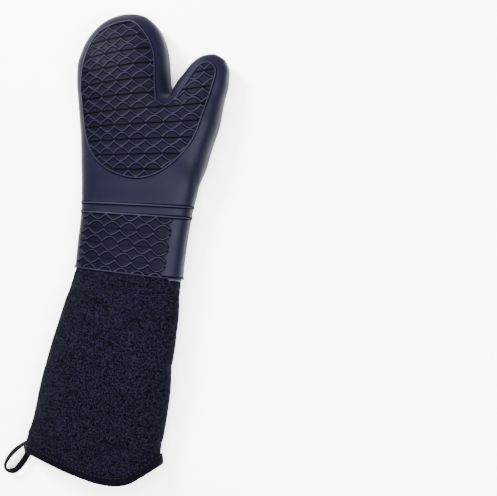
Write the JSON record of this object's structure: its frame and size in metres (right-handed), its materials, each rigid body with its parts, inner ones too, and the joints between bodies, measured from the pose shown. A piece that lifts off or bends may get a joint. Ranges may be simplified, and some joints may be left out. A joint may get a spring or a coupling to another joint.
{
  "type": "oven mitt",
  "caption": "Long heat resistant mitt: moulded silicone finger and thumb pockets with a quilted liner, a long padded fabric cuff, a bound hem and a hanging loop.",
  "frame": {"origin": "Centre of the bounding box's underside, on the surface that the mitt's back lies on.", "axes": "+Y towards the finger tips, +X towards the thumb, +Z out of the palm side."},
  "size_m": [0.2642, 0.5558, 0.051],
  "materials": {
    "silicone": "satin moulded silicone, navy black",
    "liner": "quilted cotton",
    "cuff_fabric": "brushed cotton twill, navy black",
    "wadding": "needled cotton wadding",
    "lining": "plain weave cotton",
    "binding": "woven bias binding",
    "thread": "twisted sewing thread",
    "tape": "folded twill tape"
  },
  "bodies": {
    "palm": {"silicone_shell_palm": "silicone", "palm_liner_front": "liner", "palm_liner_back": "liner"},
    "fingertips": {"silicone_shell_fingertips": "silicone", "fingertip_liner_front": "liner", "fingertip_liner_back": "liner"},
    "thumb_tip": {"silicone_shell_thumb_tip": "silicone", "thumb_tip_liner_front": "liner", "thumb_tip_liner_back": "liner"},
    "cuff": {"cuff_front_panel": "cuff_fabric", "cuff_back_panel": "cuff_fabric", "cuff_front_wadding": "wadding", "cuff_back_wadding": "wadding", "cuff_front_lining": "lining", "cuff_back_lining": "lining", "hem_binding": "binding", "hem_stitches": "thread", "loop_bar_tack": "thread"},
    "loop": {"hanging_loop": "tape"}
  },
  "joints": [
    {"name": "finger_curl", "type": "hinge", "parent": "palm", "child": "fingertips", "pos_m": [0.003, 0.214, 0.041], "axis": [1, 0, 0], "range_deg": [0, 50], "stiffness_Nm_per_rad": 0.6},
    {"name": "thumb_curl", "type": "hinge", "parent": "palm", "child": "thumb_tip", "pos_m": [0.102, 0.2, 0.03], "axis": [0.9511, -0.309, 0], "range_deg": [0, 50], "stiffness_Nm_per_rad": 0.4},
    {"name": "cuff_fold", "type": "hinge", "parent": "palm", "child": "cuff", "pos_m": [0.0215, -0.029, 0.037], "axis": [-0.9982, 0.0593, 0], "range_deg": [0, 60], "stiffness_Nm_per_rad": 0.5},
    {"name": "loop_swing", "type": "hinge", "parent": "cuff", "child": "loop", "pos_m": [-0.1122, -0.252, 0.0095], "axis": [0, 0, 1], "range_deg": [-45, 45], "stiffness_Nm_per_rad": 0.005}
  ]
}
